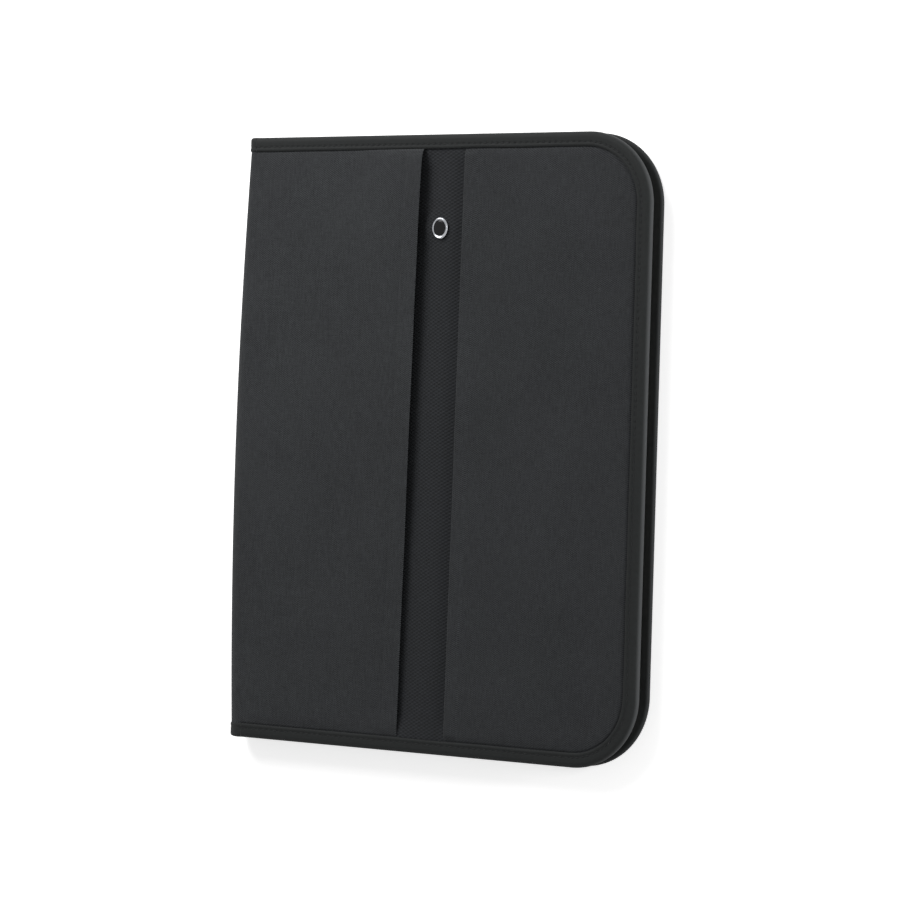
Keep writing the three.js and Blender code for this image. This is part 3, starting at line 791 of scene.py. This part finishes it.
class Nodes:
    """A material's nodes, made and joined in a line or two each."""

    def __init__(self, name):
        self.material = bpy.data.materials.new(name)
        self.material.use_nodes = True
        self.tree = self.material.node_tree
        self.shader = self.tree.nodes["Principled BSDF"]
        self.place = self.tree.nodes.new("ShaderNodeTexCoord").outputs["Object"]

    def put(self, socket, value):
        if isinstance(value, bpy.types.NodeSocket):
            self.tree.links.new(value, socket)
        else:
            socket.default_value = value

    def math(self, operation, a, b=0.0, c=0.0):
        node = self.tree.nodes.new("ShaderNodeMath")
        node.operation = operation
        for socket, value in zip(node.inputs, (a, b, c)):
            self.put(socket, value)
        return node.outputs[0]

    def dot(self, way):
        node = self.tree.nodes.new("ShaderNodeVectorMath")
        node.operation = "DOT_PRODUCT"
        self.put(node.inputs[0], self.place)
        node.inputs[1].default_value = way
        return node.outputs["Value"]

    def noise(self, scale, detail=3.0, stretch=(1, 1, 1)):
        mapping = self.tree.nodes.new("ShaderNodeMapping")
        mapping.inputs["Scale"].default_value = stretch
        self.put(mapping.inputs["Vector"], self.place)
        node = self.tree.nodes.new("ShaderNodeTexNoise")
        node.inputs["Scale"].default_value = scale
        node.inputs["Detail"].default_value = detail
        self.put(node.inputs["Vector"], mapping.outputs[0])
        return node.outputs["Fac"]

    def ripple(self, way, length):
        """A wave from -1 to 1 that runs one way, a turn in every length."""
        return self.math("SINE", self.math("MULTIPLY", self.dot(way), 2 * pi / (length * MM)))

    def half(self, wave):
        """A wave from -1 to 1 brought to 0 to 1."""
        return self.math("MULTIPLY_ADD", wave, 0.5, 0.5)

    def spread(self, value, out_low, out_high, low=0.3, high=0.7):
        node = self.tree.nodes.new("ShaderNodeMapRange")
        for socket, number in zip(node.inputs[:5], (value, low, high, out_low, out_high)):
            self.put(socket, number)
        return node.outputs[0]

    def mix(self, factor, *colours):
        """Mixes two colours, each a socket or given as 0 to 255 on screen."""
        node = self.tree.nodes.new("ShaderNodeMix")
        node.data_type = "RGBA"
        self.put(node.inputs[0], factor)
        for socket, colour in zip(node.inputs[6:8], colours):
            self.put(socket, srgb(colour) if isinstance(colour, tuple) else colour)
        return node.outputs[2]

    def bump(self, height, distance, strength=1.0, below=None):
        node = self.tree.nodes.new("ShaderNodeBump")
        node.inputs["Strength"].default_value = strength
        node.inputs["Distance"].default_value = distance
        self.put(node.inputs["Height"], height)
        if below:
            self.put(node.inputs["Normal"], below)
        return node.outputs["Normal"]

    def finish(self, colour, roughness, normal=None, sheen=0.0, specular=0.5):
        """Joins the material's shader to what was made for it."""
        inputs = self.shader.inputs
        self.put(inputs["Base Color"], colour)
        self.put(inputs["Roughness"], roughness)
        if normal:
            self.put(inputs["Normal"], normal)
        inputs["Sheen Weight"].default_value = sheen
        inputs["Specular IOR Level"].default_value = specular
        return self.material


def woven(name, dark, light, pitches, fold, relief, roughness, streaks=0.5, patches=0.5):
    """Plain-woven cloth: crossing threads, uneven yarn, faint streaks along the warp and soft patches."""
    m = Nodes(name)
    warp = m.ripple((1, 0, fold), 2 * pitches[0])
    weft = m.ripple((0, 1, 0), 2 * pitches[1])
    height = m.half(m.math("MULTIPLY", warp, weft))
    warp_yarn = m.math("MULTIPLY", m.noise(1500, 2, (1, 0.12, 1)), streaks)
    weft_yarn = m.math("MULTIPLY", m.noise(1500, 2, (0.12, 1, 1)), 1 - streaks)
    yarn = m.math("ADD", warp_yarn, weft_yarn)
    tone = m.math("ADD", m.math("MULTIPLY", height, 0.7), m.spread(yarn, -0.15, 0.35, 0.35, 0.65))
    tone = m.math("ADD", tone, m.spread(m.noise(22, 4), -0.15 * patches, 0.15 * patches))
    fuzz = m.bump(m.noise(2600, 3), 0.00004, 0.5)
    return m.finish(
        m.mix(tone, dark, light), m.spread(yarn, roughness - 0.06, roughness + 0.06),
        m.bump(height, relief * MM, 1.0, fuzz), sheen=0.06, specular=0.2)


def twill_tape(name, dark, light, highlight):
    """Narrow woven tape: fine ribs across a matt face, with a highlight painted paler along its fold."""
    m = Nodes(name)
    height = m.half(m.math("MULTIPLY", m.ripple((1, 1, 1), 0.62), m.ripple((1, -1, 0.4), 0.9)))
    fleck = m.noise(420, 4)
    tone = m.math("ADD", m.math("MULTIPLY", height, 0.35), m.spread(fleck, 0.0, 0.6))
    # The fold is mixed towards the pale colour where the mesh marks it: a painted highlight.
    highlight_mask = m.tree.nodes.new("ShaderNodeAttribute")
    highlight_mask.attribute_name = PAINTED_HIGHLIGHT
    soft = m.bump(m.noise(260, 3), 0.0001, 0.5)
    return m.finish(
        m.mix(highlight_mask.outputs["Fac"], m.mix(tone, dark, light), highlight), m.spread(fleck, 0.62, 0.76),
        m.bump(height, 0.00005, 0.8, soft), sheen=0.05, specular=0.17)


def smooth_lining(name, dark, light, pitch):
    """Thin tightly woven lining with a low shine."""
    m = Nodes(name)
    height = m.half(m.math("MULTIPLY", m.ripple((1, 0, 0), 2 * pitch), m.ripple((0, 1, 0), 2 * pitch)))
    cloud = m.noise(35, 4)
    tone = m.math("ADD", m.math("MULTIPLY", height, 0.5), m.spread(cloud, 0.1, 0.4))
    soft = m.bump(cloud, 0.0004, 0.3)
    return m.finish(
        m.mix(tone, dark, light), m.spread(cloud, 0.56, 0.64),
        m.bump(height, 0.00003, 0.6, soft), sheen=0.05, specular=0.25)


def spun_thread(name, dark, light):
    """Sewing thread with a fine twist."""
    m = Nodes(name)
    twist = m.ripple((1, 1, 1), 0.3)
    return m.finish(
        m.mix(m.half(twist), dark, light), m.spread(m.noise(900), 0.55, 0.7),
        m.bump(twist, 0.00003, 0.6), specular=0.2)


def speckled(name, dark, light, scale, roughness, relief):
    """A matt material with fine flecks, such as board, foam, paper or moulded plastic."""
    m = Nodes(name)
    fleck = m.noise(scale, 5)
    return m.finish(
        m.mix(m.spread(fleck, 0, 1, 0.35, 0.65), dark, light),
        m.spread(fleck, roughness - 0.05, roughness + 0.05),
        m.bump(m.noise(scale * 2.5, 4), relief * MM, 0.6))


RULE_PITCH = 8.7
RULE_WIDTH = 0.28
MARGIN_FROM_LEFT = 32
HEAD_MARGIN = 30


def ruled_paper(name, paper_dark, paper_light, rule, margin):
    """Writing paper with pale rules and one margin line on its upper face."""
    m = Nodes(name)
    low, high = box_mm("pad_top_sheet")
    up = m.math("DIVIDE", m.math("SUBTRACT", (high[1] - HEAD_MARGIN) * MM, m.dot((0, 1, 0))), RULE_PITCH * MM)
    below_head = m.math("GREATER_THAN", up, -0.5)
    near = m.math("ABSOLUTE", m.math("SUBTRACT", up, m.math("ROUND", up)))
    on_rule = m.math("MULTIPLY", m.math("LESS_THAN", near, RULE_WIDTH / RULE_PITCH / 2), below_head)
    aside = m.math("ABSOLUTE", m.math("SUBTRACT", m.dot((1, 0, 0)), (low[0] + MARGIN_FROM_LEFT) * MM))
    on_margin = m.math("LESS_THAN", aside, RULE_WIDTH * MM / 2)
    fleck = m.noise(600, 5)
    paper = m.mix(m.spread(fleck, 0, 1, 0.35, 0.65), paper_dark, paper_light)
    lined = m.mix(on_rule, paper, rule)
    return m.finish(
        m.mix(on_margin, lined, margin), m.spread(fleck, 0.82, 0.92), m.bump(m.noise(1500, 4), 0.00002, 0.5))


SHEET_PITCH = 0.1


def paper_block(name, dark, light):
    """A stack of sheets: the cut edges show fine uneven lines."""
    m = Nodes(name)
    layer = m.ripple((0, 0, 1), 2.4 * SHEET_PITCH)
    uneven = m.noise(300, 3, (0.05, 0.05, 6))
    tone = m.math("ADD", m.math("MULTIPLY", layer, 0.25), m.spread(uneven, 0.2, 0.9))
    return m.finish(m.mix(tone, dark, light), m.spread(uneven, 0.82, 0.94), m.bump(layer, 0.00003, 0.6))


def plated(name, dark, light, roughness):
    """Bright plated metal with a faintly rippled polish."""
    m = Nodes(name)
    cloud = m.noise(500, 4)
    m.shader.inputs["Metallic"].default_value = 1.0
    return m.finish(
        m.mix(m.spread(cloud, 0, 1), dark, light), m.spread(cloud, roughness, roughness + 0.1),
        m.bump(m.noise(350, 2), 0.00002, 0.3))


def glossy(name, dark, light, roughness):
    """Gloss enamel with a slight orange-peel skin."""
    m = Nodes(name)
    cloud = m.noise(400, 3)
    return m.finish(
        m.mix(cloud, dark, light), m.spread(cloud, roughness, roughness + 0.06),
        m.bump(m.noise(900, 2), 0.00002, 0.2), specular=0.2)


PANEL_LOOK = {"pitches": (0.91, 0.52), "relief": 0.12, "roughness": 0.85, "streaks": 0.6}
front_panel_cloth = woven("front_panel_cloth", (28, 29, 31), (61, 63, 65), fold=1, **PANEL_LOOK)
# The right panel is the front panel's cloth painted three levels darker: painted shade.
right_panel_cloth = woven("right_panel_cloth", (25, 26, 28), (58, 60, 62), fold=1, **PANEL_LOOK)
back_panel_cloth = woven("back_panel_cloth", (28, 29, 31), (61, 63, 65), fold=-1, **PANEL_LOOK)
strip_weave = woven(
    "strip_weave", (15, 16, 18), (44, 46, 49), (1.6, 0.92), 0, 0.24, 0.8, patches=0.3)
# The third colour is the painted highlight along the tape's fold.
tape_weave = twill_tape("tape_weave", (20, 22, 22), (36, 38, 38), (64, 66, 67))
lining_weave = smooth_lining("lining_weave", (22, 22, 24), (38, 38, 41), 0.34)
pocket_weave = smooth_lining("pocket_weave", (26, 26, 28), (44, 44, 47), 0.4)
elastic_weave = woven("elastic_weave", (18, 18, 20), (40, 40, 44), (0.4, 0.4), 1, 0.06, 0.8)
dark_thread = spun_thread("dark_thread", (20, 21, 22), (36, 37, 38))
lining_thread = spun_thread("lining_thread", (36, 36, 38), (70, 70, 74))
foam_cells = speckled("foam_cells", (50, 50, 50), (72, 72, 72), 2200, 0.95, 0.1)
grey_board = speckled("grey_board", (128, 122, 110), (152, 146, 134), 700, 0.9, 0.03)
black_sheet = speckled("black_sheet", (20, 20, 21), (34, 34, 36), 1200, 0.5, 0.02)
top_paper = ruled_paper(
    "top_paper", (240, 237, 226), (247, 245, 236), (150, 176, 205), (206, 128, 128))
stacked_paper = paper_block("stacked_paper", (214, 210, 198), (244, 241, 232))
head_tape_paper = speckled("head_tape_paper", (30, 33, 40), (44, 47, 55), 900, 0.7, 0.03)
bright_plate = plated("bright_plate", (140, 142, 146), (178, 180, 184), 0.2)
black_enamel = glossy("black_enamel", (8, 8, 9), (16, 16, 18), 0.12)


# Pieces

def declare(piece, nodes):
    """Hides the frame's solids that a piece stands for."""
    if nodes:
        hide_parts(*nodes)
    return piece


def place(piece, body, slot, *nodes):
    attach(piece, body)
    return declare(piece, nodes)


def bend(piece, first, second, start, finish, slot, *nodes):
    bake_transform(piece)
    return declare(piece, nodes)


STITCH_SEAT = 0.18
LOWER_FOLD = (COVER_START, 0, BACK_CLOTH_LOW), (SPINE_PLANE, 0, BACK_CLOTH_LOW + SHOULDER_RADIUS)
UPPER_FOLD = (SPINE_PLANE, 0, PANEL_TOP - SHOULDER_RADIUS), (COVER_START, 0, PANEL_TOP)


def bind_cover(cover, outside, inside, up, seed, highlight_share):
    """A cover's tape with its stitches outside and inside; up is the way that its outside faces."""
    body = cover + "_cover"
    low, high = sorted((outside, inside))
    tape = binding(cover + "_binding", low, high, seed, highlight_share, tape_weave)
    place(tape, body, "tape_cloth", cover + "_binding_tape")
    for word, level, way in (("stitches", outside, up), ("inner_stitches", inside, -up)):
        seam = binding_stitches(f"{cover}_binding_{word}", level - way * STITCH_SEAT, way, dark_thread)
        place(seam, body, "tape_cloth")


def dress_front():
    flap = front_flap(front_panel_cloth)
    bend(flap, "spine", "front_cover", *UPPER_FOLD, "panel_cloth", "front_pocket_panel", "spine_outer_fabric")
    panel = place(right_panel(right_panel_cloth), "front_cover", "panel_cloth", "front_right_panel")
    strip = place(centre_strip(strip_weave), "front_cover", "strip_cloth", "front_centre_cloth")
    # The front tape's fold takes the full painted highlight.
    bind_cover("front", FRONT_TOP, FRONT_BOTTOM, 1, seed=21, highlight_share=1)
    foam = foam_layer("front_foam", "front_padding", foam_cells, strip_dip)
    place(foam, "front_cover", "foam", "front_padding")


CARD_STITCH = {"pitch": 2.4, "length": 1.6, "radius": 0.18}
SLOT_STITCH = {"length": 1.8, "radius": 0.18}
SMALL_STITCH_RISE = 0.06
DOCUMENT_STITCH_RISE = 0.16
HEM_SEAM_INSET = 1.2


def sew_hem(name, body, start, finish, up, pitch=STITCH_PITCH, **size):
    """A straight line of stitches on a pocket's hem; up is the way that its face looks."""
    start, finish = np.array(start), np.array(finish)
    run = np.linalg.norm(finish - start)
    count = max(2, round(run / pitch))
    places = [start + (finish - start) * (k + 0.5) / count for k in range(count)]
    way, up = (finish - start) / run, np.array([0, 0, up])
    seam = thread(name, places, [way] * count, [up] * count, lining_thread, **size)
    place(seam, body, "lining_cloth")


def dress_front_inside():
    gutter_start = (SPINE_PLANE + GUTTER_DEPTH, 0, MID_SPINE + 1)
    inside = lining("front_inner_lining", True, FRONT_LINING_LOW, lining_weave)
    bend(inside, "spine", "front_cover", gutter_start, (LINING_START, 0, FRONT_LINING_LOW),
         "lining_cloth", "front_lining", "spine_lining")
    pocket, width, length = document_pocket(pocket_weave)
    place(pocket, "front_cover", "lining_cloth", "document_pocket")
    level = box_mm("document_pocket")[0][2] - DOCUMENT_STITCH_RISE
    ends = np.array([DOCUMENT_LEFT, DOCUMENT_RIGHT])
    at_left, at_right = document_mouth(ends) - DOCUMENT_HEM + HEM_SEAM_INSET
    sew_hem("document_pocket_stitches", "front_cover",
            (DOCUMENT_LEFT + 1, at_left, level), (DOCUMENT_RIGHT - 1, at_right, level), -1)
    for seed, part in enumerate(("back", "middle", "front")):
        node = "card_pocket_" + part
        card = place(card_pocket(node, 30 + seed, pocket_weave), "front_cover", "lining_cloth", node)
        low, high = box_mm(node)
        at, level = high[1] - CARD_HEM + 1, low[2] - SMALL_STITCH_RISE
        sew_hem(node + "_stitches", "front_cover", (low[0] + 2, at, level), (high[0] - 2, at, level),
                -1, **CARD_STITCH)


def dress_back():
    cloth = back_cloth(back_panel_cloth)
    bend(cloth, "back_cover", "spine", *LOWER_FOLD, "panel_cloth", "back_outer_fabric")
    # The back tape's fold takes a weaker painted highlight.
    bind_cover("back", 0, BACK_TOP, -1, seed=22, highlight_share=0.4)
    foam = place(foam_layer("back_foam", "back_padding", foam_cells), "back_cover", "foam", "back_padding")
    inside = lining("back_inner_lining", False, BACK_LINING_TOP, lining_weave)
    gutter_end = (SPINE_PLANE + GUTTER_DEPTH, 0, MID_SPINE - 1)
    bend(inside, "back_cover", "spine", (LINING_START, 0, BACK_LINING_TOP), gutter_end,
         "lining_cloth", "back_lining")
    slot = place(slot_pocket(pocket_weave), "back_cover", "lining_cloth", "pad_slot_panel")
    low, high = box_mm("pad_slot_panel")
    place(pen_loop(elastic_weave), "back_cover", "elastic", "pen_loop")
    at, level = high[1] - SLOT_HEM + HEM_SEAM_INSET, high[2] + SMALL_STITCH_RISE
    sew_hem("slot_pocket_stitches", "back_cover", (low[0] + 3, at, level), (high[0] - 3, at, level),
            1, **SLOT_STITCH)


def dress_spine():
    """Four half tapes, one for each shoulder at each end, so that each crosses one fold only."""
    for end, word in ((1, "head"), (-1, "tail")):
        upper = spine_tape(f"spine_{word}_tape_upper", True, end, tape_weave)
        bend(upper, "spine", "front_cover", *UPPER_FOLD, "tape_cloth", f"spine_{word}_tape")
        lower = spine_tape(f"spine_{word}_tape_lower", False, end, tape_weave)
        bend(lower, "back_cover", "spine", *LOWER_FOLD, "tape_cloth")


def finish_nodes():
    """Procedural materials on the rigid pieces that stay as they are."""
    kept = {
        "back_board": grey_board, "front_board": grey_board, "spine_stiffener": black_sheet,
        "badge_rim": bright_plate, "badge_insert": black_enamel, "badge_washer": bright_plate,
        "pad_backing_card": grey_board, "pad_sheets": stacked_paper, "pad_top_sheet": top_paper,
        "pad_head_tape": head_tape_paper,
    }
    for node, material in kept.items():
        slots = frame["nodes"][node].data.materials
        slots.clear()
        slots.append(material)


# Studio

CAMERA_TARGET = (12.17, -2.47, 16)
CAMERA_DISTANCE = 1711.6
CAMERA_YAW = 31.301
CAMERA_PITCH = 0.857
CAMERA_ROLL = 1.635
LENS = 133.3
SENSOR = 36
# Each light's place and aim in millimetres, its width in metres and its power in watts
LIGHTS = {
    "key": ((-380, 690, 600), (0, 0, 0), 0.65, 7.9),
    "fill": ((900, -500, 1300), (0, 0, 0), 1.6, 1.5),
    "rim": ((1400, 300, 130), (120, 0, 12), 0.35, 15),
}
ROOM_GLOW = 0.26
FLOOR_GLOW = 0.62
FLOOR_HALF = 6000


def camera():
    """A long lens above the free edge, with the head of the page up in the picture."""
    yaw, pitch, roll = (radians(a) for a in (CAMERA_YAW, CAMERA_PITCH, CAMERA_ROLL))
    back = Vector((sin(yaw) * cos(pitch), sin(pitch), cos(yaw) * cos(pitch)))
    level = Vector((cos(yaw), 0, -sin(yaw)))
    upright = back.cross(level)
    right = level * cos(roll) + upright * sin(roll)
    up = back.cross(right)
    data = bpy.data.cameras.new("camera")
    data.lens = LENS
    data.sensor_width = SENSOR
    data.clip_end = 20
    eye = add_object("camera", data)
    place_mm = Vector(CAMERA_TARGET) + back * CAMERA_DISTANCE
    turn = Matrix((right, up, back)).transposed().to_4x4()
    eye.matrix_world = Matrix.Translation(place_mm * MM) @ turn
    bpy.context.scene.camera = eye


def area_light(name, place_mm, target_mm, size, power):
    data = bpy.data.lights.new(name, "AREA")
    data.shape = "DISK"
    data.size = size
    data.energy = power
    lamp = add_object(name, data)
    lamp.location = Vector(place_mm) * MM
    way = (Vector(target_mm) - Vector(place_mm)).normalized()
    lamp.rotation_euler = way.to_track_quat("-Z", "Y").to_euler()


def world():
    """An even pale studio that the camera and reflections see as white."""
    studio = bpy.data.worlds.new("studio")
    studio.use_nodes = True
    bpy.context.scene.world = studio
    nodes, links = studio.node_tree.nodes, studio.node_tree.links
    path = nodes.new("ShaderNodeLightPath")
    seen = nodes.new("ShaderNodeMath")
    seen.operation = "MAXIMUM"
    links.new(path.outputs["Is Camera Ray"], seen.inputs[0])
    links.new(path.outputs["Is Glossy Ray"], seen.inputs[1])
    level = nodes.new("ShaderNodeMapRange")
    level.inputs["To Min"].default_value = ROOM_GLOW
    level.inputs["To Max"].default_value = 1.0
    links.new(seen.outputs[0], level.inputs["Value"])
    background = nodes["Background"]
    background.inputs["Color"].default_value = (1, 1, 1, 1)
    links.new(level.outputs[0], background.inputs["Strength"])


def floor():
    """A plain white floor that keeps the object's soft shadow."""
    half = FLOOR_HALF
    points = [(-half, -half, 0), (half, -half, 0), (half, half, 0), (-half, half, 0)]
    m = Nodes("floor")
    path = m.tree.nodes.new("ShaderNodeLightPath")
    m.put(m.shader.inputs["Emission Color"], (1, 1, 1, 1))
    m.put(m.shader.inputs["Emission Strength"], m.math("MULTIPLY", path.outputs["Is Camera Ray"], FLOOR_GLOW))
    tone = m.mix(m.noise(3, 2), (250, 250, 250), (255, 255, 255))
    piece = make_mesh("floor", points, [(0, 1, 2, 3)], m.finish(tone, 0.9, specular=0.0))


dress_front()
dress_front_inside()
dress_back()
dress_spine()
finish_nodes()
camera()
world()
floor()
for light, setting in LIGHTS.items():
    area_light(light, *setting)
bpy.context.scene.view_settings.view_transform = "Standard"
